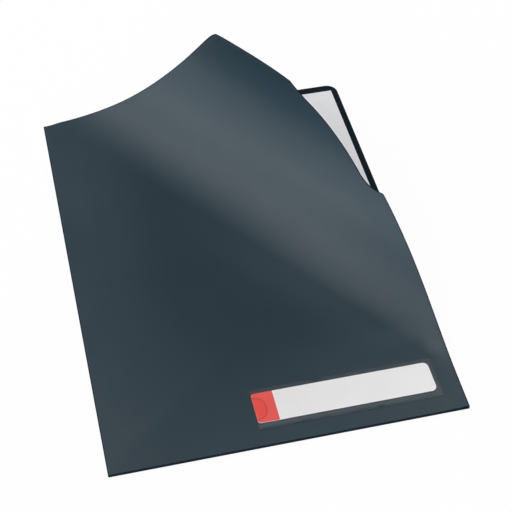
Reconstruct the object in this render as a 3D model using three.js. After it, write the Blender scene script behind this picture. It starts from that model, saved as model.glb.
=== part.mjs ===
// An L-shaped plastic document folder. It lies on its back sheet, open edges to the right (+X) and the
// top (+Y), with the free corner of its front cover curled up. Millimetres, +Z up, origin under the middle.
import * as THREE from 'three';
import { mergeVertices } from 'three/addons/utils/BufferGeometryUtils.js';

// The sheet of paper that the folder is made for, and the folder's margins round it
const paperWidth = 210;
const paperHeight = 297;
const paperThickness = 0.15;
const paperFromFold = 5.4;
const paperFromRight = 4.6;
const paperFromBottom = 6.4;
const paperFromTop = 6.6;

// The folder, folded and welded from one polypropylene sheet
const folderWidth = paperFromFold + paperWidth + paperFromRight;
const folderHeight = paperFromBottom + paperHeight + paperFromTop;
const sheetThickness = 0.3;
const openCornerRadius = 8;
const weldWidth = 1.6;

// Air between the layers
const underPaper = 0.2;
const overPaper = 0.65;

// The thumb recess in the front cover's open edge: straight, with an arc out to the edge at each end
const recessLength = 96.6;
const recessFromTop = 56;
const recessDepth = 8.5;
const recessEndLength = 19.2;
const recessCornerEase = 1.2;

// The label card, and the room round it in its pocket
const cardWidth = 112;
const cardHeight = 22;
const cardThickness = 0.3;
const cardRightRadius = 3.5;
const cardLeftRadius = 1.8;
const roomLeft = 0.8;
const roomRight = 1;
const roomBottom = 2.6;
const roomTop = 1.4;
const cardGap = 0.2;

// The label pocket: a film welded on the front cover round three sides, open to the left
const pocketWeldWidth = 2.2;
const pocketWidth = roomLeft + cardWidth + roomRight + pocketWeldWidth;
const pocketHeight = pocketWeldWidth + roomBottom + cardHeight + roomTop + pocketWeldWidth;
const pocketFromRight = 11.7;
const pocketFromBottom = 11.6;
const pocketCornerRadius = 1;
const filmThickness = 0.15;
const notchDepth = 8;
const notchHeight = 17.5;
const notchMouthFlare = 1.6;

// The curl of the free corner: the sheet bends along straight parallel lines. The first runs from the top
// edge, beside the fold, to just right of the pocket's corner. One meets the recess's lower corner, and the
// others are evenly spaced before and past it. The radii are at the first line, one third and two thirds
// of the way to the free corner, and at that corner, where the sheet ends straight.
const firstLineFromFold = 8.6;
const firstLineFromPocket = 0.75;
const stripsToRecess = 6;
const stripsPastRecess = 7;
const bendRadii = [58, 79, 53, Infinity];
const facetsPerStrip = 5;
const pointsPerCurve = 4;
const bendLineGap = 0.3;

// Heights of the layers, worked out upwards from the surface that the folder lies on
const backTop = sheetThickness;
const paperBottom = backTop + underPaper;
const coverBottom = paperBottom + paperThickness + overPaper;
const coverTop = coverBottom + sheetThickness;
const coverMiddle = (coverBottom + coverTop) / 2;
const cardBottom = coverTop + cardGap;
const filmBottom = cardBottom + cardThickness + cardGap;

// The folder's own corner, bottom left, seen from the front. Flat drawings are measured from it.
const originX = -folderWidth / 2;
const originY = -folderHeight / 2;
const foldRadius = coverTop / 2;
const pocketRight = folderWidth - pocketFromRight;
const pocketLeft = pocketRight - pocketWidth;
const pocketTop = pocketFromBottom + pocketHeight;
const recessTop = folderHeight - recessFromTop;
const recessBottom = recessTop - recessLength;

function plastic(color, roughness) {
  return new THREE.MeshStandardMaterial({ color, roughness, metalness: 0 });
}

const coverPlastic = () => plastic(0x3f4b54, 0.45);
const backPlastic = () => plastic(0x1f2c36, 0.45);
const clearFilm = () => plastic(0x505d66, 0.25);
const whitePaper = () => plastic(0xe9e9eb, 0.85);
const labelCard = () => plastic(0xedecee, 0.7);

const folder = new THREE.Group();

function addPiece(name, geometry, material) {
  const mesh = new THREE.Mesh(geometry, material);
  mesh.name = name;
  folder.add(mesh);
  return mesh;
}

// A flat plate from its outline, lying at a height
function plate(shape, thickness, bottom) {
  const geometry = new THREE.ExtrudeGeometry(shape, { depth: thickness, bevelEnabled: false, curveSegments: 8 });
  return geometry.translate(originX, originY, bottom);
}

// A rectangle whose corners each have their own radius, from the bottom left, anticlockwise
function roundedRectangle(left, bottom, width, height, radii) {
  const [bottomLeft, bottomRight, topRight, topLeft] = radii;
  const right = left + width;
  const top = bottom + height;
  const quarter = Math.PI / 2;
  const shape = new THREE.Shape();
  shape.moveTo(left + bottomLeft, bottom);
  shape.lineTo(right - bottomRight, bottom);
  if (bottomRight) shape.absarc(right - bottomRight, bottom + bottomRight, bottomRight, -quarter, 0);
  shape.lineTo(right, top - topRight);
  if (topRight) shape.absarc(right - topRight, top - topRight, topRight, 0, quarter);
  shape.lineTo(left + topLeft, top);
  if (topLeft) shape.absarc(left + topLeft, top - topLeft, topLeft, quarter, 2 * quarter);
  shape.lineTo(left, bottom + bottomLeft);
  if (bottomLeft) shape.absarc(left + bottomLeft, bottom + bottomLeft, bottomLeft, 2 * quarter, 3 * quarter);
  return shape;
}

// The front cover laid flat: a rectangle with one rounded corner and the thumb recess in its right edge
function coverOutline() {
  const arcRadius = (recessEndLength ** 2 + recessDepth ** 2) / (2 * recessDepth);
  const arcSweep = 2 * Math.atan2(recessDepth, recessEndLength) - recessCornerEase / arcRadius;
  const arcX = folderWidth - recessDepth + arcRadius;
  const lowArcY = recessBottom + recessEndLength;
  const highArcY = recessTop - recessEndLength;
  const easedX = arcX - arcRadius * Math.cos(arcSweep);
  const shape = new THREE.Shape();
  shape.moveTo(foldRadius, 0);
  shape.lineTo(folderWidth, 0);
  shape.lineTo(folderWidth, recessBottom - recessCornerEase);
  shape.quadraticCurveTo(folderWidth, recessBottom, easedX, lowArcY - arcRadius * Math.sin(arcSweep));
  shape.absarc(arcX, lowArcY, arcRadius, Math.PI + arcSweep, Math.PI, true);
  shape.absarc(arcX, highArcY, arcRadius, Math.PI, Math.PI - arcSweep, true);
  shape.quadraticCurveTo(folderWidth, recessTop, folderWidth, recessTop + recessCornerEase);
  shape.lineTo(folderWidth, folderHeight - openCornerRadius);
  shape.absarc(
    folderWidth - openCornerRadius, folderHeight - openCornerRadius, openCornerRadius, 0, Math.PI / 2,
  );
  shape.lineTo(foldRadius, folderHeight);
  return shape;
}

// The first bend line's two ends, and the direction across it, towards the free corner
const firstLineTop = new THREE.Vector2(firstLineFromFold, folderHeight);
const firstLineFoot = new THREE.Vector2(pocketRight + firstLineFromPocket, pocketTop);
const bendLineTilt = Math.atan2(firstLineFoot.x - firstLineTop.x, firstLineTop.y - firstLineFoot.y);
const across = new THREE.Vector2(Math.cos(bendLineTilt), Math.sin(bendLineTilt));
const firstLine = firstLineTop.dot(across);
const bendReach = new THREE.Vector2(folderWidth, folderHeight).dot(across) - firstLine;

// How far a point of the flat cover lies past the first bend line
function pastFirstLine(point) {
  return point.dot(across) - firstLine;
}

// Where the bend lines lie past the first one, which is at 0, up to the free corner
function bendLines() {
  const recessLine = pastFirstLine(new THREE.Vector2(folderWidth, recessBottom));
  const lines = [];
  for (let line = 0; line < stripsToRecess; line += 1) {
    lines.push(recessLine * line / stripsToRecess);
  }
  for (let line = 0; line <= stripsPastRecess; line += 1) {
    lines.push(THREE.MathUtils.lerp(recessLine, bendReach, line / stripsPastRecess));
  }
  return lines;
}

// The bend's curvature at a share of the way to the corner, straight-line between the radii given above
function curvatureAt(share) {
  const place = Math.min(share, 1) * (bendRadii.length - 1);
  const before = Math.min(Math.floor(place), bendRadii.length - 2);
  return THREE.MathUtils.lerp(1 / bendRadii[before], 1 / bendRadii[before + 1], place - before);
}

// The bent cover seen along its bend lines: for each step across, its reach, height and slope angle
const profileSteps = 720;

function bendProfile() {
  const step = bendReach / profileSteps;
  const profile = [{ reach: 0, height: 0, angle: 0 }];
  for (let index = 0; index < profileSteps; index += 1) {
    const last = profile[index];
    const turn = curvatureAt((index + 0.5) / profileSteps) * step;
    const middle = last.angle + turn / 2;
    profile.push({
      reach: last.reach + Math.cos(middle) * step,
      height: last.height + Math.sin(middle) * step,
      angle: last.angle + turn,
    });
  }
  return profile;
}

const profile = bendProfile();

function profileAt(distance) {
  const place = THREE.MathUtils.clamp(distance / bendReach, 0, 1) * profileSteps;
  const before = Math.min(Math.floor(place), profileSteps - 1);
  const share = place - before;
  const [from, to] = [profile[before], profile[before + 1]];
  return {
    reach: THREE.MathUtils.lerp(from.reach, to.reach, share),
    height: THREE.MathUtils.lerp(from.height, to.height, share),
    angle: THREE.MathUtils.lerp(from.angle, to.angle, share),
  };
}

// Where a point of the flat cover lies once bent. The side is 1 on the front face and -1 on the inside.
function bentPoint(point, side) {
  const distance = Math.max(pastFirstLine(point), 0);
  const bend = profileAt(distance);
  const offset = side * sheetThickness / 2;
  const shift = bend.reach - distance - Math.sin(bend.angle) * offset;
  return new THREE.Vector3(
    originX + point.x + across.x * shift,
    originY + point.y + across.y * shift,
    coverMiddle + bend.height + Math.cos(bend.angle) * offset,
  );
}

// Cuts flat convex polygons along the bend line at a distance, into those before it and those past it
function cutAlongLine(polygons, distance) {
  const before = [];
  const past = [];
  for (const polygon of polygons) {
    const low = [];
    const high = [];
    polygon.forEach((point, index) => {
      const next = polygon[(index + 1) % polygon.length];
      const here = pastFirstLine(point) - distance;
      const there = pastFirstLine(next) - distance;
      if (here <= 0) low.push(point);
      if (here >= 0) high.push(point);
      if (here * there < 0) {
        const crossing = point.clone().lerp(next, here / (here - there));
        low.push(crossing);
        high.push(crossing);
      }
    });
    if (low.length > 2 && low.some((point) => pastFirstLine(point) < distance)) before.push(low);
    if (high.length > 2 && high.some((point) => pastFirstLine(point) > distance)) past.push(high);
  }
  return { before, past };
}

// The cover's flat outline as triangles, ready to be cut into strips
function flatCover() {
  const outline = coverOutline().getPoints(pointsPerCurve);
  const faces = THREE.ShapeUtils.triangulateShape(outline, []);
  return faces.map((face) => face.map((index) => outline[index]));
}

// A bent sheet solid from flat polygons: its front, its inside and the cut edges all round
function bentSheet(polygons) {
  const keyOf = (point) => `${point.x.toFixed(5)} ${point.y.toFixed(5)}`;
  const triangles = [];
  const edges = new Map();
  const addEdge = (from, to) => {
    const back = `${keyOf(to)} ${keyOf(from)}`;
    if (!edges.delete(back)) edges.set(`${keyOf(from)} ${keyOf(to)}`, [from, to]);
  };
  const addTriangle = (a, b, c, side) => {
    const corners = side > 0 ? [a, b, c] : [c, b, a];
    triangles.push(...corners.map((point) => bentPoint(point, side)));
  };
  for (const polygon of polygons) {
    for (let corner = 1; corner < polygon.length - 1; corner += 1) {
      addTriangle(polygon[0], polygon[corner], polygon[corner + 1], 1);
      addTriangle(polygon[0], polygon[corner], polygon[corner + 1], -1);
    }
    polygon.forEach((point, index) => addEdge(point, polygon[(index + 1) % polygon.length]));
  }
  for (const [from, to] of edges.values()) {
    triangles.push(bentPoint(from, 1), bentPoint(from, -1), bentPoint(to, 1));
    triangles.push(bentPoint(to, 1), bentPoint(from, -1), bentPoint(to, -1));
  }
  return mergeVertices(new THREE.BufferGeometry().setFromPoints(triangles));
}

// Each strip runs between two bend lines, less half the gap at each, and is faceted along the curve
function addCover() {
  const lines = bendLines();
  let { before, past } = cutAlongLine(flatCover(), -bendLineGap / 2);
  addPiece('front_cover', bentSheet(before), coverPlastic());
  for (let strip = 1; strip < lines.length; strip += 1) {
    const start = lines[strip - 1] + bendLineGap / 2;
    const end = lines[strip] - bendLineGap / 2;
    past = cutAlongLine(past, start).past;
    const polygons = [];
    for (let facet = 1; facet <= facetsPerStrip; facet += 1) {
      ({ before, past } = cutAlongLine(past, THREE.MathUtils.lerp(start, end, facet / facetsPerStrip)));
      polygons.push(...before);
    }
    addPiece(`cover_strip_${String(strip).padStart(2, '0')}`, bentSheet(polygons), coverPlastic());
  }
}

// The back sheet, flat, with one rounded corner
function addBack() {
  const outline = roundedRectangle(
    foldRadius, 0, folderWidth - foldRadius, folderHeight, [0, 0, openCornerRadius, 0],
  );
  addPiece('back_panel', plate(outline, sheetThickness, 0), backPlastic());
}

// The fold down the left side: half a turn of the sheet from the back to the front
function addFold() {
  const quarter = Math.PI / 2;
  const section = new THREE.Shape();
  section.absarc(foldRadius, foldRadius, foldRadius, 3 * quarter, quarter, true);
  section.absarc(foldRadius, foldRadius, foldRadius - sheetThickness, quarter, 3 * quarter, false);
  section.closePath();
  const geometry = new THREE.ExtrudeGeometry(section, { depth: folderHeight, bevelEnabled: false, curveSegments: 10 });
  geometry.rotateX(quarter);
  geometry.translate(originX, originY + folderHeight, 0);
  addPiece('side_fold', geometry, coverPlastic());
}

// The weld that joins back and front along the bottom edge
function addBottomWeld() {
  const outline = roundedRectangle(foldRadius, 0, folderWidth - foldRadius, weldWidth, [0, 0, 0, 0]);
  addPiece('bottom_weld', plate(outline, coverBottom - backTop, backTop), backPlastic());
}

function addPaper() {
  const geometry = new THREE.BoxGeometry(paperWidth, paperHeight, paperThickness);
  const paper = addPiece('document_sheet', geometry, whitePaper());
  paper.position.set(
    originX + paperFromFold + paperWidth / 2,
    originY + paperFromBottom + paperHeight / 2,
    paperBottom + paperThickness / 2,
  );
}

// The pocket's film, with the thumb notch in its open left end
function pocketFilmOutline() {
  const left = pocketLeft;
  const right = pocketRight;
  const bottom = pocketFromBottom;
  const top = pocketTop;
  const notchMiddle = bottom + pocketHeight / 2;
  const radius = pocketCornerRadius;
  const half = notchHeight / 2;
  const flare = notchMouthFlare;
  const shape = new THREE.Shape();
  shape.moveTo(left, bottom);
  shape.lineTo(right - radius, bottom);
  shape.absarc(right - radius, bottom + radius, radius, -Math.PI / 2, 0);
  shape.lineTo(right, top - radius);
  shape.absarc(right - radius, top - radius, radius, 0, Math.PI / 2);
  shape.lineTo(left, top);
  shape.lineTo(left, notchMiddle + half);
  shape.bezierCurveTo(
    left + flare, notchMiddle + half - flare,
    left + notchDepth, notchMiddle + half,
    left + notchDepth, notchMiddle,
  );
  shape.bezierCurveTo(
    left + notchDepth, notchMiddle - half,
    left + flare, notchMiddle - half + flare,
    left, notchMiddle - half,
  );
  return shape;
}

// The weld under the film's top, right and bottom edges
function pocketWeldOutline() {
  const left = pocketLeft;
  const right = pocketRight;
  const bottom = pocketFromBottom;
  const top = pocketTop;
  const radius = pocketCornerRadius;
  const weld = pocketWeldWidth;
  const shape = new THREE.Shape();
  shape.moveTo(left, bottom);
  shape.lineTo(right - radius, bottom);
  shape.absarc(right - radius, bottom + radius, radius, -Math.PI / 2, 0);
  shape.lineTo(right, top - radius);
  shape.absarc(right - radius, top - radius, radius, 0, Math.PI / 2);
  shape.lineTo(left, top);
  shape.lineTo(left, top - weld);
  shape.lineTo(right - weld, top - weld);
  shape.lineTo(right - weld, bottom + weld);
  shape.lineTo(left, bottom + weld);
  return shape;
}

function addLabelPocket() {
  addPiece('pocket_weld', plate(pocketWeldOutline(), filmBottom - coverTop, coverTop), clearFilm());
  addPiece('pocket_film', plate(pocketFilmOutline(), filmThickness, filmBottom), clearFilm());
  const card = roundedRectangle(
    pocketLeft + roomLeft, pocketFromBottom + pocketWeldWidth + roomBottom, cardWidth, cardHeight,
    [cardLeftRadius, cardRightRadius, cardRightRadius, cardLeftRadius],
  );
  addPiece('label_card', plate(card, cardThickness, cardBottom), labelCard());
}

addBack();
addFold();
addBottomWeld();
addPaper();
addCover();
addLabelPocket();

export default folder;
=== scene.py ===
"""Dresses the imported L-shaped plastic folder: its curled front cover, label pocket, card and paper.

Metres throughout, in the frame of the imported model: the folder lies on its back sheet, its fold on the
left (-X), its open edges on the right (+X) and at the top (+Y). The front cover is one sheet of plastic.
It is drawn flat, cut into fine rows along its bend lines, and every point is then carried round the bend.
"""

import math

import bmesh
import bpy
from bpy.props import FloatProperty, FloatVectorProperty, IntProperty, PointerProperty
from bpy.types import Operator, Panel, PropertyGroup
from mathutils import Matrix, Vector


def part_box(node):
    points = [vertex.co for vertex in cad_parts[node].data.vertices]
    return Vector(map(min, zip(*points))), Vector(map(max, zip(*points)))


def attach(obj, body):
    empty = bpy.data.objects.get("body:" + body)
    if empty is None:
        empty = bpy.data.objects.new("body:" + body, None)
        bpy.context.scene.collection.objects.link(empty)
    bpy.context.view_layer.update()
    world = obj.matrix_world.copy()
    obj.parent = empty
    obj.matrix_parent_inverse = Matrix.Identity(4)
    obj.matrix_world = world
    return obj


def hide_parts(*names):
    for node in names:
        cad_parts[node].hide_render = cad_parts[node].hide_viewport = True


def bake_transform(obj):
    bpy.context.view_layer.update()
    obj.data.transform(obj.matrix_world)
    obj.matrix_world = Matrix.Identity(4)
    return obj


bl_info = {
    "name": "L-shaped plastic folder",
    "version": (1, 0, 0),
    "blender": (4, 5, 0),
    "location": "View3D > Sidebar > Folder",
    "description": "Builds the looks of an L-shaped plastic folder on its packed frame",
    "category": "Object",
}

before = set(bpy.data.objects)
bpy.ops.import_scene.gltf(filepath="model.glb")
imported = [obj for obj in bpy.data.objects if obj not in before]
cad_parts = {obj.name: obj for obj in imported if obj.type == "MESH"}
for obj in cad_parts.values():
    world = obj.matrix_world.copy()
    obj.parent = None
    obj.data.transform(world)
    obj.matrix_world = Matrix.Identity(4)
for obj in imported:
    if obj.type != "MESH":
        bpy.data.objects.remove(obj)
MM = 0.001

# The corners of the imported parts' boxes, which the shapes start from
FOLD_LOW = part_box("side_fold")[0]
BACK_LOW, BACK_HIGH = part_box("back_panel")
COVER_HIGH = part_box("front_cover")[1]
POCKET_LOW, POCKET_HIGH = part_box("pocket_film")
CARD_LOW, CARD_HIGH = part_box("label_card")


def length(name, description, default):
    """A length property, shown in Blender's own units, with enough digits for thin sheets."""
    return FloatProperty(
        name=name, description=description, default=default, unit="LENGTH", precision=5, min=0.0
    )


def colour(name, description, default):
    """A colour property without its alpha."""
    return FloatVectorProperty(
        name=name, description=description, default=default, subtype="COLOR", size=3, min=0.0, max=1.0
    )


def angle(name, description, degrees):
    """An angle property, given in degrees."""
    return FloatProperty(name=name, description=description, default=math.radians(degrees), unit="ROTATION")


def brightness(name, description, default):
    """A brightness property, where 1 looks white."""
    return FloatProperty(name=name, description=description, default=default, min=0.0)


class FolderSheet(PropertyGroup):
    """The folded and welded sheet of plastic."""

    width: length("Width", "From the fold to the open edge", BACK_HIGH.x - FOLD_LOW.x)
    height: length("Height", "From the welded edge to the open top", BACK_HIGH.y - BACK_LOW.y)
    thickness: length("Sheet thickness", "Thickness of the plastic", BACK_HIGH.z - BACK_LOW.z)
    corner_radius: length("Open corner", "Radius of the free corner", 8 * MM)
    # The darker line along a cut edge is painted shade: it paints the dark that the edge shows in the light.
    cut_edge: length("Cut edge", "Width of the darker, pressed line along a cut edge", 0.6 * MM)
    recess_length: length("Recess length", "Length of the thumb recess", 96.6 * MM)
    recess_from_top: length("Recess from top", "From the open top to the recess", 56 * MM)
    recess_depth: length("Recess depth", "Depth of the thumb recess", 8.5 * MM)
    recess_end: length("Recess end", "Length of the arc at each end of the recess", 19.2 * MM)
    recess_ease: length("Recess ease", "Rounding where the recess meets the edge", 1.2 * MM)


class CoverCurl(PropertyGroup):
    """How the front cover's free corner curls up."""

    line_from_fold: length("Line from fold", "From the fold to the first bend line's top", 8.6 * MM)
    line_from_pocket: length("Line from pocket", "From the pocket's corner to the line's foot", 0.75 * MM)
    strips_to_recess: IntProperty(
        name="Strips to recess", description="Strips before the recess's lower corner", default=6, min=1
    )
    strips_past_recess: IntProperty(
        name="Strips past recess", description="Strips from there to the free corner", default=7, min=1
    )
    radius_first: length("First radius", "Bend radius at the first line", 58 * MM)
    radius_second: length("Second radius", "Bend radius a third of the way", 79 * MM)
    radius_third: length("Third radius", "Bend radius two thirds of the way", 53 * MM)
    row: length("Row spacing", "Distance between the rows that the bend is made of", 1.5 * MM)
    swell_foot: length("Swell at the foot", "How far the sheet swells up at the first line's foot", 1.5 * MM)
    swell_top: length("Swell at the top", "How far it swells up at the first line's top", 2.3 * MM)
    swell_foot_place: length("Foot swell's place", "How far past the line's foot it is highest", 8 * MM)
    swell_top_place: length("Top swell's place", "How far past the line's top it is highest", 16 * MM)
    swell_reach: length("Swell's reach", "How far the swelling spreads across the first line", 27 * MM)
    belly: length("Belly", "How far the sheet bellies up above the pocket", 3.4 * MM)
    belly_place: length("Belly's place", "How far past the first line it is highest", 33 * MM)
    belly_from_foot: length("Belly from foot", "How far along that line, from its foot", 90 * MM)
    belly_reach: length("Belly's reach", "How far the belly spreads across the first line", 34 * MM)
    belly_length: length("Belly's length", "How far it spreads along the first line", 90 * MM)
    hold_beside: length("Hold beside", "How far beside the pocket or the fold the sheet is held", 13 * MM)
    hold_above: length("Hold above", "How far above the pocket the sheet is held down", 26 * MM)


class LabelPocket(PropertyGroup):
    """The clear pocket on the cover and the card in it."""

    weld_width: length("Weld", "Width of the weld round three sides", 2.2 * MM)
    rise_width: length("Rise", "Width over which the film rises from its weld to lie over the card", 1.1 * MM)
    film_thickness: length("Film thickness", "Thickness of the clear film", 0.15 * MM)
    # The film's darker edge line is painted shade.
    film_rim: length("Film rim", "Width of the darker line along the film's edge", 0.2 * MM)
    corner_radius: length("Film corner", "Radius of the film's right corners", 1 * MM)
    notch_depth: length("Notch depth", "Depth of the thumb notch", 8 * MM)
    notch_height: length("Notch height", "Height of the thumb notch", 17.5 * MM)
    notch_flare: length("Notch flare", "Rounding at the notch's mouth", 1.6 * MM)
    card_right_radius: length("Card right corners", "Radius of the card's right corners", 3.5 * MM)
    card_left_radius: length("Card left corners", "Radius of the card's left corners", 1.8 * MM)
    card_rim: length("Card rim", "Width of the row of faces along the card's edge", 0.3 * MM)
    band_width: length("Band", "Width of the coloured band at the card's left end", 13.3 * MM)


class FolderColours(PropertyGroup):
    """Colours of the folder's plastics, its card and its paper."""

    cover: colour("Cover", "Slate plastic of the cover", (0.0182, 0.0384, 0.0535))
    cover_pale: colour("Cover, paler", "The paler tone it varies towards", (0.0196, 0.0402, 0.0558))
    # The cut colour is painted shade for the dark of the cut edges and the fold; round the fold it also
    # stands for the crease.
    cut: colour("Cut edge", "Cut and creased edges of the sheet", (0.006, 0.013, 0.019))
    # The back colour is painted shade: the cover's plastic, darkened for the shade it lies in inside the
    # folder.
    back: colour("Back", "Inside of the back sheet", (0.0095, 0.0157, 0.0226))
    film: colour("Film", "Clear film of the label pocket", (0.80, 0.80, 0.80))
    film_weld: colour("Film weld", "The film where it is welded, a little cloudy", (0.80, 0.79, 0.76))
    card: colour("Card", "White of the label card", (0.86, 0.85, 0.86))
    band: colour("Band", "Coral band of the label card", (0.85, 0.073, 0.056))
    paper: colour("Paper", "White of the paper", (0.84, 0.84, 0.86))
    floor: colour("Floor", "The surface that the folder lies on", (0.86, 0.86, 0.86))


class FolderStage(PropertyGroup):
    """The camera, the room's own light, and the size and distance of the soft lights."""

    camera_place: FloatVectorProperty(
        name="Camera place", description="Where the camera stands", size=3, unit="LENGTH",
        default=(-0.1248, -0.5999, 0.6602),
    )
    camera_heading: angle("Camera heading", "From the top edge's direction towards the open edge", 12.98)
    camera_dip: angle("Camera dip", "How far the camera looks down", 47.18)
    camera_lens: FloatProperty(
        name="Lens", description="Focal length on a 36 mm wide sensor, in millimetres", default=94.9, min=1.0
    )
    horizon_light: brightness("Horizon light", "Brightness of the white surroundings, low down", 1.5)
    room_light: brightness("Room light", "Brightness of the room above them", 0.0)
    lamp_distance: length("Lamp distance", "From the folder to each soft light", 2.0)
    lamp_side: length("Lamp side", "Side of each square soft light", 1.0)


class LightHeadings(PropertyGroup):
    """Where each soft light stands, clockwise from the direction of the top edge."""

    front: angle("Front light", "Behind the camera", 180)
    low_front: angle("Low front light", "Low before the folder, lighting the tip that turns over", 205)
    left: angle("Left light", "On the left, for the middle of the curl", -90)
    upper_left: angle("Upper left light", "High on the left, for the start of the curl", -60)
    top: angle("Top light", "Nearly overhead, for the flat cover beside the fold", -20)
    far_right: angle("Far right light", "Low at the far right, for the flat cover's right side", 30)


class LightRises(PropertyGroup):
    """How high each soft light stands above the surface."""

    front: angle("Front light", "Behind the camera", 34)
    low_front: angle("Low front light", "Low before the folder", 14)
    left: angle("Left light", "On the left", 34)
    upper_left: angle("Upper left light", "High on the left", 56)
    top: angle("Top light", "Nearly overhead", 80)
    far_right: angle("Far right light", "Low at the far right", 14)


class LightLevels(PropertyGroup):
    """How bright each soft light is, where 1 looks white."""

    front: brightness("Front light", "Behind the camera", 3.4)
    low_front: brightness("Low front light", "Low before the folder", 6.0)
    left: brightness("Left light", "On the left", 2.65)
    upper_left: brightness("Upper left light", "High on the left", 2.55)
    top: brightness("Top light", "Nearly overhead", 1.9)
    far_right: brightness("Far right light", "Low at the far right", 11.0)


def limited(share):
    """A share kept between 0 and 1."""
    return min(max(share, 0.0), 1.0)


def eased(share):
    """A share between 0 and 1 that starts and ends softly."""
    share = limited(share)
    return share * share * (3 - 2 * share)


class CoverShape:
    """The front cover laid flat, and where the bend carries each point of it."""

    # How finely the bend, the outline's curves and the slope at a point are worked out
    profile_steps = 720
    recess_steps = 14
    ease_steps = 5
    corner_steps = 12
    slope_step = 0.2 * MM

    def __init__(self, sheet, curl):
        self.sheet = sheet
        self.curl = curl
        self.left = FOLD_LOW.x
        self.right = FOLD_LOW.x + sheet.width
        self.bottom = BACK_LOW.y
        self.top = BACK_LOW.y + sheet.height
        self.middle_height = COVER_HIGH.z - sheet.thickness / 2
        self.fold_edge = FOLD_LOW.x + COVER_HIGH.z / 2
        self.fold_middle = COVER_HIGH.z / 2
        self.fold_radius = self.fold_middle - sheet.thickness / 2
        line_top = Vector((self.left + curl.line_from_fold, self.top))
        line_foot = Vector((POCKET_HIGH.x + curl.line_from_pocket, POCKET_HIGH.y))
        tilt = math.atan2(line_foot.x - line_top.x, line_top.y - line_foot.y)
        self.across = Vector((math.cos(tilt), math.sin(tilt)))
        self.along = Vector((-math.sin(tilt), math.cos(tilt)))
        self.line_foot = line_foot
        self.line_length = (line_top - line_foot).length
        self.first_line = line_top.dot(self.across)
        self.reach = Vector((self.right, self.top)).dot(self.across) - self.first_line
        self.profile = self.bend_profile()

    def past_first_line(self, point):
        """How far a point of the flat cover lies past the first bend line."""
        return point.dot(self.across) - self.first_line

    def bend_lines(self):
        """Where the bend lines lie past the first one, up to the free corner."""
        sheet, curl = self.sheet, self.curl
        recess_bottom = self.top - sheet.recess_from_top - sheet.recess_length
        recess_line = self.past_first_line(Vector((self.right, recess_bottom)))
        lines = [recess_line * line / curl.strips_to_recess for line in range(curl.strips_to_recess)]
        for line in range(curl.strips_past_recess + 1):
            lines.append(recess_line + (self.reach - recess_line) * line / curl.strips_past_recess)
        return lines

    def curvature(self, share):
        """The bend's curvature at a share of the way to the corner, where it ends straight."""
        curl = self.curl
        bends = [1 / curl.radius_first, 1 / curl.radius_second, 1 / curl.radius_third, 0.0]
        spans = len(bends) - 1
        place = min(share, 1.0) * spans
        before = min(int(place), spans - 1)
        return bends[before] + (bends[before + 1] - bends[before]) * (place - before)

    def bend_profile(self):
        """Reach, height and slope angle of the bent cover, step by step across the bend lines."""
        step = self.reach / self.profile_steps
        profile = [(0.0, 0.0, 0.0)]
        for index in range(self.profile_steps):
            reach, height, slope = profile[-1]
            turn = self.curvature((index + 0.5) / self.profile_steps) * step
            middle = slope + turn / 2
            profile.append((reach + math.cos(middle) * step, height + math.sin(middle) * step, slope + turn))
        return profile

    def profile_at(self, distance):
        """Reach, height and slope angle at a distance past the first bend line."""
        place = limited(distance / self.reach) * self.profile_steps
        before = min(int(place), self.profile_steps - 1)
        share = place - before
        pairs = zip(self.profile[before], self.profile[before + 1])
        return [low + (high - low) * share for low, high in pairs]

    def swell(self, point):
        """How far a flat point swells up: beside the first line, and in the belly above the pocket."""
        curl = self.curl
        past = self.past_first_line(point)
        from_foot = (point - self.line_foot).dot(self.along)
        share = limited(from_foot / self.line_length)
        height = curl.swell_foot + (curl.swell_top - curl.swell_foot) * share
        place = curl.swell_foot_place + (curl.swell_top_place - curl.swell_foot_place) * share
        narrow = ((past - place) / curl.swell_reach) ** 2
        wide = ((past - curl.belly_place) / curl.belly_reach) ** 2
        wide += ((from_foot - curl.belly_from_foot) / curl.belly_length) ** 2
        beside = max(POCKET_LOW.x - point.x, point.x - POCKET_HIGH.x, 0.0) / curl.hold_beside
        above = max(POCKET_LOW.y - point.y, point.y - POCKET_HIGH.y, 0.0) / curl.hold_above
        from_fold = (point.x - self.fold_edge) / curl.hold_beside
        free = eased(math.hypot(beside, above)) * eased(from_fold)
        return (height * math.exp(-narrow) + curl.belly * math.exp(-wide)) * free

    def bent(self, point, offset):
        """Where a flat point lies once folded and bent, at an offset from the sheet's middle."""
        if point.x < self.fold_edge:
            turned = (self.fold_edge - point.x) / self.fold_radius
            radius = self.fold_radius + offset
            x = self.fold_edge - math.sin(turned) * radius
            return Vector((x, point.y, self.fold_middle + math.cos(turned) * radius))
        distance = max(self.past_first_line(point), 0.0)
        reach, height, slope = self.profile_at(distance)
        flat = point + self.across * (reach - distance - math.sin(slope) * offset)
        height += self.middle_height + self.swell(point)
        return Vector((flat.x, flat.y, height + math.cos(slope) * offset))

    def place(self, point, side):
        """Where a flat point lies once folded and bent, and the way its face looks.

        The side is 1 on the front face and -1 on the inside.
        """
        offset = side * self.sheet.thickness / 2
        right = Vector((self.slope_step, 0.0))
        up = Vector((0.0, self.slope_step))
        step_right = self.bent(point + right, offset) - self.bent(point - right, offset)
        step_up = self.bent(point + up, offset) - self.bent(point - up, offset)
        return self.bent(point, offset), step_right.cross(step_up).normalized() * side

    def on_profile(self, distance):
        """A point of the bend, at its middle thickness, at a distance past the first line."""
        middle = Vector(((self.left + self.right) / 2, (self.bottom + self.top) / 2))
        flat = middle + self.across * (distance - self.past_first_line(middle))
        return self.place(flat, 0)[0]

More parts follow.
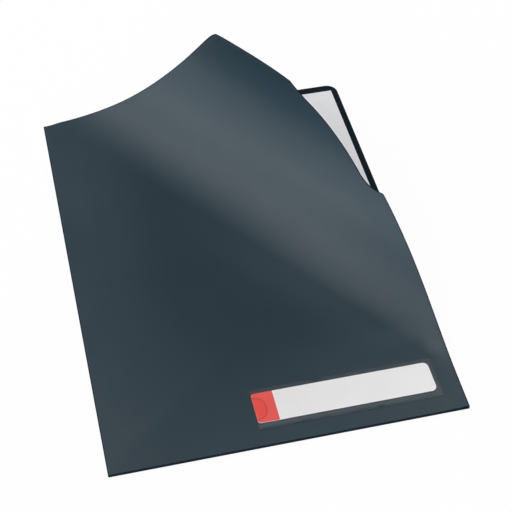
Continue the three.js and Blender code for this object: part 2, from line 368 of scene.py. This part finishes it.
    def outline(self):
        """The flat sheet's outline, anticlockwise, from the far side of the fold at the bottom."""
        sheet = self.sheet
        arc_radius = (sheet.recess_end ** 2 + sheet.recess_depth ** 2) / (2 * sheet.recess_depth)
        sweep = 2 * math.atan2(sheet.recess_depth, sheet.recess_end) - sheet.recess_ease / arc_radius
        arc_x = self.right - sheet.recess_depth + arc_radius
        recess_top = self.top - sheet.recess_from_top
        recess_bottom = recess_top - sheet.recess_length
        start = self.fold_edge - math.pi * self.fold_radius
        steps = self.recess_steps
        low_y = recess_bottom + sheet.recess_end
        low_arc = arc(arc_x, low_y, arc_radius, math.pi + sweep, math.pi, steps)
        high_y = recess_top - sheet.recess_end
        high_arc = arc(arc_x, high_y, arc_radius, math.pi, math.pi - sweep, steps)
        low_corner = Vector((self.right, recess_bottom))
        low_start = Vector((self.right, recess_bottom - sheet.recess_ease))
        high_corner = Vector((self.right, recess_top))
        high_end = Vector((self.right, recess_top + sheet.recess_ease))
        points = [Vector((start, self.bottom)), Vector((self.right, self.bottom))]
        points += rounded(low_start, low_corner, low_arc[0], self.ease_steps)
        points += low_arc[1:]
        points += high_arc
        points += rounded(high_arc[-1], high_corner, high_end, self.ease_steps)[1:]
        radius = sheet.corner_radius
        points += arc(self.right - radius, self.top - radius, radius, 0, math.pi / 2, self.corner_steps)
        points.append(Vector((start, self.top)))
        return points


def arc(centre_x, centre_y, radius, start, end, steps):
    """Points along an arc, both ends included."""
    points = []
    for step in range(steps + 1):
        turn = start + (end - start) * step / steps
        points.append(Vector((centre_x + radius * math.cos(turn), centre_y + radius * math.sin(turn))))
    return points


def rounded(start, corner, end, steps):
    """Points along the curve that rounds a corner, both ends included."""
    points = []
    for step in range(steps + 1):
        share = step / steps
        rest = 1 - share
        points.append(start * rest ** 2 + corner * 2 * share * rest + end * share ** 2)
    return points


def middle_of(points):
    """The middle of a flat face, from its corners."""
    return sum(points, Vector((0, 0))) / len(points)


def inset(points, width):
    """The same closed outline moved inwards, for the line along its edge."""
    # Keeps a sharp corner's point from moving too far in
    least_share = 0.3
    moved = []
    for index, point in enumerate(points):
        before = (point - points[index - 1]).normalized()
        after = (points[(index + 1) % len(points)] - point).normalized()
        inward = Vector((-before.y - after.y, before.x + after.x)).normalized()
        reach = width / max(inward.dot(Vector((-after.y, after.x))), least_share)
        moved.append(point + inward * reach)
    return moved


def edged_sheet(points, edge_width):
    """A flat sheet in a new bmesh: its face, and a narrow band of faces along its outline."""
    flat = bmesh.new()
    outer = [flat.verts.new((point.x, point.y, 0)) for point in points]
    inner = [flat.verts.new((point.x, point.y, 0)) for point in inset(points, edge_width)]
    flat.faces.new(inner).material_index = 0
    for index in range(len(outer)):
        after = (index + 1) % len(outer)
        flat.faces.new([outer[index], outer[after], inner[after], inner[index]]).material_index = 1
    return flat


def cut(flat, through, along):
    """Cuts every face of a flat bmesh along one straight line, given by a point and its direction."""
    everything = flat.verts[:] + flat.edges[:] + flat.faces[:]
    touching = 1e-8
    start = (through.x, through.y, 0)
    across = (-along.y, along.x, 0)
    bmesh.ops.bisect_plane(flat, geom=everything, dist=touching, plane_co=start, plane_no=across)


def flat_faces(flat):
    """The faces of a flat bmesh as outlines of points, each with its material's index."""
    return [([Vector(vertex.co[:2]) for vertex in face.verts], face.material_index) for face in flat.faces]


def build_sheet(name, faces, place, rim_material, materials):
    """A closed thin sheet from flat faces: its front, its inside and the edge all round.

    place(point, side) gives where a flat point lies and the way it looks. The flat points are kept as the
    sheet's texture coordinates, in metres, so that its surface stays with it where it bends.
    """
    numbers = {}
    places, looks = [], []
    polygons, indices, normals, flats = [], [], [], []

    def number(point, side):
        # Points that agree to a tenth of a micrometre are one
        key = (round(point.x, 7), round(point.y, 7), side)
        if key not in numbers:
            where, look = place(point, side)
            numbers[key] = len(places)
            places.append(where)
            looks.append(look)
        return numbers[key]

    def add(points, material, look=None):
        face = [number(point, side) for point, side in points]
        polygons.append(face)
        indices.append(material)
        normals.extend(look or looks[vertex] for vertex in face)
        flats.extend(point for point, side in points)

    edges = {}
    for points, material in faces:
        add([(point, 1) for point in points], material)
        add([(point, -1) for point in reversed(points)], material)
        for index, point in enumerate(points):
            after = points[(index + 1) % len(points)]
            start = number(point, 1)
            end = number(after, 1)
            if edges.pop((end, start), None) is None:
                edges[(start, end)] = (point, after)
    for point, after in edges.values():
        along = places[number(after, 1)] - places[number(point, 1)]
        through = places[number(point, 1)] - places[number(point, -1)]
        look = along.cross(through).normalized()
        add([(point, 1), (point, -1), (after, -1), (after, 1)], rim_material, look)
    mesh = bpy.data.meshes.new(name)
    mesh.from_pydata(places, [], polygons)
    for material in materials:
        mesh.materials.append(material)
    mesh.polygons.foreach_set("material_index", indices)
    mesh.polygons.foreach_set("use_smooth", [True] * len(polygons))
    layer = mesh.uv_layers.new(name="flat")
    layer.uv.foreach_set("vector", [value for point in flats for value in point])
    mesh.normals_split_custom_set(normals)
    piece = bpy.data.objects.new(name, mesh)
    bpy.context.scene.collection.objects.link(piece)
    return piece


class Finish:
    """A new material and the nodes that are added to it."""

    def __init__(self, name):
        self.material = bpy.data.materials.new(name)
        self.material.use_nodes = True
        self.nodes = self.material.node_tree.nodes
        self.links = self.material.node_tree.links
        self.shader = self.nodes["Principled BSDF"]

    def add(self, kind, **values):
        """A node of that kind, with its sockets or its own settings set."""
        node = self.nodes.new(kind)
        for key, value in values.items():
            if key in node.inputs:
                node.inputs[key].default_value = value
            else:
                setattr(node, key, value)
        return node

    def flat_coordinates(self):
        """Metres along the flat sheet, which the grain and the tone are laid out in."""
        return self.add("ShaderNodeUVMap", uv_map="flat").outputs["UV"]

    def model_coordinates(self):
        """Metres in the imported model's frame, for parts that keep their shape."""
        return self.add("ShaderNodeTexCoord").outputs["Object"]

    def noise(self, coordinates, per_metre, detail=2.0):
        """A noise whose blotches are about one over per_metre wide."""
        node = self.add("ShaderNodeTexNoise", Scale=per_metre, Detail=detail)
        self.links.new(coordinates, node.inputs["Vector"])
        return node.outputs["Fac"]

    def ramp(self, value, low, high, start=0.3, end=0.7):
        """Turns a noise into a number between low and high."""
        node = self.add("ShaderNodeMapRange")
        for socket, number in (("From Min", start), ("From Max", end), ("To Min", low), ("To Max", high)):
            node.inputs[socket].default_value = number
        self.links.new(value, node.inputs["Value"])
        return node.outputs["Result"]

    def tones(self, value, first, second, start=0.35, end=0.65):
        """Turns a noise into a colour between two."""
        node = self.add("ShaderNodeValToRGB")
        low, high = node.color_ramp.elements
        low.position = start
        high.position = end
        low.color = (*first, 1.0)
        high.color = (*second, 1.0)
        self.links.new(value, node.inputs["Fac"])
        return node.outputs["Color"]

    def bump(self, height, depth, under=None):
        """Turns a noise into bumps of that depth in metres, on top of other bumps."""
        node = self.add("ShaderNodeBump", Strength=1.0, Distance=depth)
        self.links.new(height, node.inputs["Height"])
        if under:
            self.links.new(under, node.inputs["Normal"])
        return node.outputs["Normal"]

    def set(self, **sockets):
        """Sets or links the shader's own sockets, named with underscores for spaces."""
        for key, value in sockets.items():
            socket = self.shader.inputs[key.replace("_", " ")]
            if isinstance(value, bpy.types.NodeSocket):
                self.links.new(value, socket)
            else:
                socket.default_value = value
        return self.material


def shaded(tone, factor):
    """The same tone, lighter or darker by a factor."""
    return [min(value * factor, 1.0) for value in tone]


def cover_finish(colours):
    """Satin polypropylene: faint clouding of its tone, a fine rolled grain and very slight unevenness."""
    finish = Finish("slate_polypropylene")
    flat = finish.flat_coordinates()
    clouds = finish.noise(flat, 24)
    grain = finish.noise(flat, 3200, 3)
    unevenness = finish.bump(finish.noise(flat, 30, 1), 0.06 * MM)
    return finish.set(
        Base_Color=finish.tones(clouds, colours.cover, colours.cover_pale),
        Roughness=finish.ramp(finish.noise(flat, 90), 0.38, 0.42),
        Normal=finish.bump(grain, 0.004 * MM, unevenness),
        IOR=1.49,
    )


def edge_shade_finish(colours):
    """The cut and creased edges, coloured dark and matt: painted shade for the dark that the edges and the
    fold show in the light; round the fold it stands for the crease as well.
    """
    finish = Finish("painted_edge_shade")
    flat = finish.flat_coordinates()
    marks = finish.noise(flat, 700, 3)
    return finish.set(
        Base_Color=finish.tones(marks, colours.cut, shaded(colours.cut, 1.6)),
        Roughness=finish.ramp(marks, 0.55, 0.7),
        Specular_IOR_Level=0.0,
        Normal=finish.bump(marks, 0.01 * MM),
    )


def back_finish(colours):
    """The same plastic where it lies in the shade, inside the folder."""
    finish = Finish("painted_shade_polypropylene")
    model = finish.model_coordinates()
    clouds = finish.noise(model, 30)
    grain = finish.noise(model, 3200, 3)
    return finish.set(
        Base_Color=finish.tones(clouds, colours.back, shaded(colours.back, 1.25)),
        Roughness=finish.ramp(finish.noise(model, 90), 0.7, 0.8),
        Specular_IOR_Level=0.0,
        Normal=finish.bump(grain, 0.004 * MM),
    )


def film_finish(name, tone, alpha, roughness):
    """Thin clear film, slightly uneven: its alpha is how much of its own tone shows."""
    finish = Finish(name)
    flat = finish.flat_coordinates()
    haze = finish.noise(flat, 60)
    material = finish.set(
        Base_Color=finish.tones(haze, tone, shaded(tone, 1.1)),
        Roughness=finish.ramp(haze, roughness, roughness + 0.08),
        Normal=finish.bump(finish.noise(flat, 120, 1), 0.03 * MM),
        Alpha=alpha,
        IOR=1.5,
    )
    material.surface_render_method = "BLENDED"
    return material


def card_finish(name, tone, darkest):
    """Smooth matt card with a trace of its fibres, and the share of its tone where it is darkest."""
    finish = Finish(name)
    flat = finish.flat_coordinates()
    fibres = finish.noise(flat, 1800, 4)
    return finish.set(
        Base_Color=finish.tones(finish.noise(flat, 70, 3), shaded(tone, darkest), tone),
        Roughness=finish.ramp(fibres, 0.62, 0.74),
        Normal=finish.bump(fibres, 0.01 * MM),
    )


def paper_finish(colours):
    """Office paper: matt white with fine fibres and slight clouding."""
    finish = Finish("office_paper")
    model = finish.model_coordinates()
    fibres = finish.noise(model, 1500, 5)
    clouds = finish.noise(model, 160, 4)
    return finish.set(
        Base_Color=finish.tones(clouds, shaded(colours.paper, 0.97), colours.paper),
        Roughness=finish.ramp(fibres, 0.8, 0.9),
        Normal=finish.bump(fibres, 0.02 * MM),
    )


def dress(node, material):
    """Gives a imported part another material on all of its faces."""
    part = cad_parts[node]
    part.data.materials.clear()
    part.data.materials.append(material)


class FOLDER_OT_cover(Operator):
    """Builds the front cover: the flat part with the fold, and a piece round each bend line, built already
    bent
    """

    bl_idname = "folder.cover"
    bl_label = "Front cover"

    def execute(self, context):
        scene = context.scene
        shape = CoverShape(scene.folder_sheet, scene.folder_curl)
        finishes = [cover_finish(scene.folder_colours), edge_shade_finish(scene.folder_colours)]
        lines = shape.bend_lines()
        middles = [(low + high) / 2 for low, high in zip(lines, lines[1:])]
        first_border = shape.past_first_line(Vector((shape.fold_edge, shape.top)))
        borders = [first_border] + middles[:-1] + [shape.reach]
        pieces = self.cut_into_pieces(shape, scene.folder_curl.row, borders)
        flat = build_sheet("Cover_flat", self.fold_with_painted_shade(shape, pieces[0]), shape.place, 1, finishes)
        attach(flat, "folder")
        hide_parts("side_fold", "front_cover")
        bodies = ["folder"] + [f"strip_{number:02d}" for number in range(1, len(lines))]
        ends = [first_border] + middles
        for number in range(1, len(bodies)):
            piece = build_sheet(f"Cover_bend_{number:02d}", pieces[number], shape.place, 1, finishes)
            start = shape.on_profile(ends[number - 1])
            end = shape.on_profile(ends[number])
            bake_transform(piece)
            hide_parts(f"cover_strip_{number:02d}")
        return {"FINISHED"}

    @staticmethod
    def cut_into_pieces(shape, row, borders):
        """The flat cover's faces, cut into fine rows and sorted into the pieces between the borders."""
        outline = shape.outline()
        flat = edged_sheet(outline, shape.sheet.cut_edge)
        fold_rows = 12
        for index in range(fold_rows):
            turned = math.pi * shape.fold_radius * index / fold_rows
            cut(flat, Vector((shape.fold_edge - turned, 0)), Vector((0, 1)))
        # The flat part swells a little too, so wider rows go some way into it
        flat_rows = 15
        flat_row = 2.5 * row
        for index in range(1, flat_rows + 1):
            distance = borders[0] - index * flat_row
            cut(flat, shape.across * (shape.first_line + distance), shape.along)
        cross_row = 6 * row
        from_foot = [(point - shape.line_foot).dot(shape.along) for point in outline]
        first_row = math.floor(min(from_foot) / cross_row)
        last_row = math.ceil(max(from_foot) / cross_row)
        for index in range(first_row, last_row + 1):
            cut(flat, shape.line_foot + shape.along * index * cross_row, shape.across)
        for low, high in zip(borders, borders[1:]):
            rows = math.ceil((high - low) / row)
            for index in range(rows):
                distance = low + (high - low) * index / rows
                cut(flat, shape.across * (shape.first_line + distance), shape.along)
        pieces = [[] for border in borders]
        for points, material in flat_faces(flat):
            distance = shape.past_first_line(middle_of(points))
            number = sum(1 for border in borders[:-1] if distance > border)
            pieces[number].append((points, material))
        flat.free()
        return pieces

    @staticmethod
    def fold_with_painted_shade(shape, faces):
        """The same faces, with those round the fold in the dark edge material: painted shade where the fold
        turns away, together with the crease itself.

        The front stays plain for the first tenth of the fold's turn.
        """
        plain_share = 0.1
        crease = shape.fold_edge - math.pi * shape.fold_radius * plain_share
        return [(points, 1 if middle_of(points).x < crease else material) for points, material in faces]


class FOLDER_OT_back(Operator):
    """Gives the back sheet and the bottom weld their plastic"""

    bl_idname = "folder.back"
    bl_label = "Back sheet and weld"

    def execute(self, context):
        # The back sheet and the weld get the darker colour that paints the shade inside the folder.
        material = back_finish(context.scene.folder_colours)
        dress("back_panel", material)
        dress("bottom_weld", material)
        return {"FINISHED"}


class FOLDER_OT_paper(Operator):
    """Gives the sheet of paper its surface"""

    bl_idname = "folder.paper"
    bl_label = "Paper"

    def execute(self, context):
        dress("document_sheet", paper_finish(context.scene.folder_colours))
        return {"FINISHED"}


class FOLDER_OT_pocket(Operator):
    """Builds the label pocket's film, welded down round three sides and raised over the card"""

    bl_idname = "folder.pocket"
    bl_label = "Label pocket"

    def execute(self, context):
        scene = context.scene
        pocket = scene.folder_pocket
        flat = edged_sheet(self.outline(pocket), pocket.film_rim)
        rise_steps = 4
        for step in range(rise_steps + 1):
            inwards = pocket.weld_width + pocket.rise_width * step / rise_steps
            cut(flat, Vector((0, POCKET_LOW.y + inwards)), Vector((1, 0)))
            cut(flat, Vector((0, POCKET_HIGH.y - inwards)), Vector((1, 0)))
            cut(flat, Vector((POCKET_HIGH.x - inwards, 0)), Vector((0, 1)))

        def place(point, side):
            return self.place(pocket, point, side)

        colours = scene.folder_colours
        finishes = [
            film_finish("clear_film", colours.film, 0.017, 0.2),
            # The film's edge line is painted shade, in the cut edges' dark colour.
            film_finish("film_edge_shade", colours.cut, 0.3, 0.4),
            film_finish("welded_film", colours.film_weld, 0.024, 0.3),
        ]
        piece = build_sheet("Pocket_film", self.marked_weld(pocket, flat_faces(flat)), place, 1, finishes)
        flat.free()
        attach(piece, "folder")
        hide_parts("pocket_weld", "pocket_film")
        return {"FINISHED"}

    @staticmethod
    def from_edges(point):
        """How far a point of the film lies inside its three welded edges."""
        return min(POCKET_HIGH.x - point.x, POCKET_HIGH.y - point.y, point.y - POCKET_LOW.y)

    @staticmethod
    def marked_weld(pocket, faces):
        """The same faces, with those of the weld and the rise beside it in the cloudier material."""
        cloudy = pocket.weld_width + pocket.rise_width
        marked = []
        for points, material in faces:
            in_weld = FOLDER_OT_pocket.from_edges(middle_of(points)) < cloudy
            marked.append((points, 2 if in_weld and material == 0 else material))
        return marked

    @staticmethod
    def outline(pocket):
        """The film's outline, anticlockwise from its bottom left, with the notch in its left end."""
        left, right = POCKET_LOW.x, POCKET_HIGH.x
        bottom, top = POCKET_LOW.y, POCKET_HIGH.y
        middle = (bottom + top) / 2
        half = pocket.notch_height / 2
        radius = pocket.corner_radius
        steps = 6
        points = [Vector((left, bottom))]
        points += arc(right - radius, bottom + radius, radius, -math.pi / 2, 0, steps)
        points += arc(right - radius, top - radius, radius, 0, math.pi / 2, steps)
        points.append(Vector((left, top)))
        points += FOLDER_OT_pocket.notch_side(pocket, left, middle, half)
        points += FOLDER_OT_pocket.notch_side(pocket, left, middle, -half)[-2::-1]
        return points

    @staticmethod
    def notch_side(pocket, left, middle, half):
        """One half of the notch, from the film's end to the notch's deepest point."""
        sign = 1 if half > 0 else -1
        ends = [
            Vector((left, middle + half)),
            Vector((left + pocket.notch_flare, middle + half - sign * pocket.notch_flare)),
            Vector((left + pocket.notch_depth, middle + half)),
            Vector((left + pocket.notch_depth, middle)),
        ]
        steps = 12
        points = []
        for step in range(steps + 1):
            share = step / steps
            rest = 1 - share
            weights = (rest ** 3, 3 * rest ** 2 * share, 3 * rest * share ** 2, share ** 3)
            points.append(sum((end * weight for end, weight in zip(ends, weights)), Vector((0, 0))))
        return points

    @staticmethod
    def place(pocket, point, side):
        """Where a point of the film lies: on the cover in the weld, and above the card inside it."""
        low = COVER_HIGH.z
        high = POCKET_LOW.z
        inwards = FOLDER_OT_pocket.from_edges(point)
        share = limited((inwards - pocket.weld_width) / pocket.rise_width)
        height = low + (high - low) * eased(share)
        slope = (high - low) * 6 * share * (1 - share) / pocket.rise_width
        if inwards == POCKET_HIGH.x - point.x:
            look = Vector((slope, 0.0, 1.0)).normalized()
        elif inwards == POCKET_HIGH.y - point.y:
            look = Vector((0.0, slope, 1.0)).normalized()
        else:
            look = Vector((0.0, -slope, 1.0)).normalized()
        lift = pocket.film_thickness if side > 0 else 0.0
        return Vector((point.x, point.y, height + lift)), look * side


class FOLDER_OT_card(Operator):
    """Builds the label card, white with a coral band at its open end"""

    bl_idname = "folder.card"
    bl_label = "Label card"

    def execute(self, context):
        scene = context.scene
        colours = scene.folder_colours
        pocket = scene.folder_pocket
        left, right = CARD_LOW.x, CARD_HIGH.x
        bottom, top = CARD_LOW.y, CARD_HIGH.y
        near, far = pocket.card_left_radius, pocket.card_right_radius
        far_steps, near_steps = 8, 6
        quarter = math.pi / 2
        points = arc(right - far, bottom + far, far, -quarter, 0, far_steps)
        points += arc(right - far, top - far, far, 0, quarter, far_steps)
        points += arc(left + near, top - near, near, quarter, 2 * quarter, near_steps)
        points += arc(left + near, bottom + near, near, 2 * quarter, 3 * quarter, near_steps)
        flat = edged_sheet(points, pocket.card_rim)
        band_end = left + pocket.band_width
        cut(flat, Vector((band_end, 0)), Vector((0, 1)))
        faces = [(face, 1 if middle_of(face).x < band_end else 0) for face, _ in flat_faces(flat)]
        flat.free()
        finishes = [
            card_finish("white_card", colours.card, 0.98),
            card_finish("coral_print", colours.band, 0.94),
        ]
        piece = build_sheet("Label_card", faces, self.place, 0, finishes)
        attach(piece, "label")
        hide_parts("label_card")
        return {"FINISHED"}

    @staticmethod
    def place(point, side):
        """Where a point of the card lies, on its top or its underside."""
        height = CARD_HIGH.z if side > 0 else CARD_LOW.z
        return Vector((point.x, point.y, height)), Vector((0.0, 0.0, side))


class FOLDER_OT_stage(Operator):
    """Sets up the white surface, the soft lights and the camera"""

    bl_idname = "folder.stage"
    bl_label = "Stage"

    def execute(self, context):
        scene = context.scene
        stage = scene.folder_stage
        self.add_floor(scene.folder_colours.floor)
        self.add_room(scene, stage)
        for name in ("front", "low_front", "left", "upper_left", "top", "far_right"):
            self.add_lamp(scene, name)
        self.add_camera(scene, stage)
        scene.view_settings.view_transform = "Standard"
        return {"FINISHED"}

    @staticmethod
    def add_floor(tone):
        """A wide white surface: it keeps a faint shadow of the folder, and meets the white background."""
        floor_size = 12
        floor_gap = 0.05 * MM
        glow_share = 0.96
        bpy.ops.mesh.primitive_plane_add(size=floor_size, location=(0, 0, -floor_gap))
        floor = bpy.context.object
        floor.name = "Floor"
        finish = Finish("white_table")
        clouds = finish.noise(finish.model_coordinates(), 3)
        finish.set(Base_Color=finish.tones(clouds, tone, shaded(tone, 1.01)), Roughness=0.9)
        glow = finish.add("ShaderNodeEmission", Strength=1.0)
        share = finish.add("ShaderNodeMixShader", Fac=0.0)
        path = finish.add("ShaderNodeLightPath")
        seen = finish.add("ShaderNodeMath", operation="MAXIMUM")
        seen_through = finish.add("ShaderNodeMath", operation="MAXIMUM")
        part = finish.add("ShaderNodeMath", operation="MULTIPLY")
        part.inputs[1].default_value = glow_share
        for start, end in (
            (path.outputs["Is Camera Ray"], seen.inputs[0]),
            (path.outputs["Is Glossy Ray"], seen.inputs[1]),
            (seen.outputs["Value"], seen_through.inputs[0]),
            (path.outputs["Is Transmission Ray"], seen_through.inputs[1]),
            (seen_through.outputs["Value"], part.inputs[0]),
            (part.outputs["Value"], share.inputs["Fac"]),
            (finish.shader.outputs["BSDF"], share.inputs[1]),
            (glow.outputs["Emission"], share.inputs[2]),
            (share.outputs["Shader"], finish.nodes["Material Output"].inputs["Surface"]),
        ):
            finish.links.new(start, end)
        floor.data.materials.append(finish.material)

    @staticmethod
    def add_room(scene, stage):
        """White surroundings low down, which fade into a darker room above."""
        fade_start = math.radians(10)
        fade_end = math.radians(25)
        world = bpy.data.worlds.new("Room")
        world.use_nodes = True
        scene.world = world
        nodes = world.node_tree.nodes
        links = world.node_tree.links
        direction = nodes.new("ShaderNodeTexCoord")
        parts = nodes.new("ShaderNodeSeparateXYZ")
        fade = nodes.new("ShaderNodeMapRange")
        fade.inputs["From Min"].default_value = math.sin(fade_start)
        fade.inputs["From Max"].default_value = math.sin(fade_end)
        fade.inputs["To Min"].default_value = stage.horizon_light
        fade.inputs["To Max"].default_value = stage.room_light
        links.new(direction.outputs["Generated"], parts.inputs["Vector"])
        links.new(parts.outputs["Z"], fade.inputs["Value"])
        links.new(fade.outputs["Result"], nodes["Background"].inputs["Strength"])
        nodes["Background"].inputs["Color"].default_value = (1.0, 1.0, 1.0, 1.0)

    @staticmethod
    def add_lamp(scene, name):
        """A large soft light that faces the folder's middle. Only its light and its reflection show."""
        stage = scene.folder_stage
        heading = getattr(scene.folder_headings, name)
        rise = getattr(scene.folder_rises, name)
        lamp = bpy.data.lights.new(f"{name}_light", "AREA")
        lamp.shape = "SQUARE"
        lamp.size = stage.lamp_side
        lamp.energy = getattr(scene.folder_levels, name) * math.pi * stage.lamp_side ** 2
        sideways = math.cos(rise)
        away = Vector((math.sin(heading) * sideways, math.cos(heading) * sideways, math.sin(rise)))
        holder = bpy.data.objects.new(f"{name}_light", lamp)
        holder.location = away * stage.lamp_distance
        holder.rotation_euler = (-away).to_track_quat("-Z", "Y").to_euler()
        holder.visible_camera = False
        scene.collection.objects.link(holder)

    @staticmethod
    def add_camera(scene, stage):
        """The camera, where the photographer stood."""
        camera = bpy.data.cameras.new("Camera")
        camera.lens = stage.camera_lens
        camera.sensor_width = 36
        camera.clip_start = 0.01
        holder = bpy.data.objects.new("Camera", camera)
        holder.location = stage.camera_place
        holder.rotation_euler = (math.pi / 2 - stage.camera_dip, 0, -stage.camera_heading)
        scene.collection.objects.link(holder)
        scene.camera = holder


class FOLDER_PT_panel(Panel):
    """Lists the folder's pieces and the stage"""

    bl_label = "Plastic folder"
    bl_idname = "FOLDER_PT_panel"
    bl_space_type = "VIEW_3D"
    bl_region_type = "UI"
    bl_category = "Folder"

    def draw(self, context):
        for operator in OPERATORS:
            self.layout.operator(operator.bl_idname)
        for name in GROUPS:
            group = getattr(context.scene, name)
            box = self.layout.box()
            for key in group.bl_rna.properties.keys():
                if key not in ("rna_type", "name"):
                    box.prop(group, key)


GROUPS = {
    "folder_sheet": FolderSheet,
    "folder_curl": CoverCurl,
    "folder_pocket": LabelPocket,
    "folder_colours": FolderColours,
    "folder_stage": FolderStage,
    "folder_headings": LightHeadings,
    "folder_rises": LightRises,
    "folder_levels": LightLevels,
}
OPERATORS = (
    FOLDER_OT_stage,
    FOLDER_OT_back,
    FOLDER_OT_paper,
    FOLDER_OT_cover,
    FOLDER_OT_pocket,
    FOLDER_OT_card,
)


def register():
    for name, group in GROUPS.items():
        bpy.utils.register_class(group)
        setattr(bpy.types.Scene, name, PointerProperty(type=group))
    for operator in OPERATORS:
        bpy.utils.register_class(operator)
    bpy.utils.register_class(FOLDER_PT_panel)


def unregister():
    bpy.utils.unregister_class(FOLDER_PT_panel)
    for operator in reversed(OPERATORS):
        bpy.utils.unregister_class(operator)
    for name, group in GROUPS.items():
        delattr(bpy.types.Scene, name)
        bpy.utils.unregister_class(group)


def main():
    register()
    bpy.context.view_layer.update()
    bpy.ops.folder.stage()
    bpy.ops.folder.back()
    bpy.ops.folder.paper()
    bpy.ops.folder.cover()
    bpy.ops.folder.pocket()
    bpy.ops.folder.card()


if __name__ == "__main__":
    main()
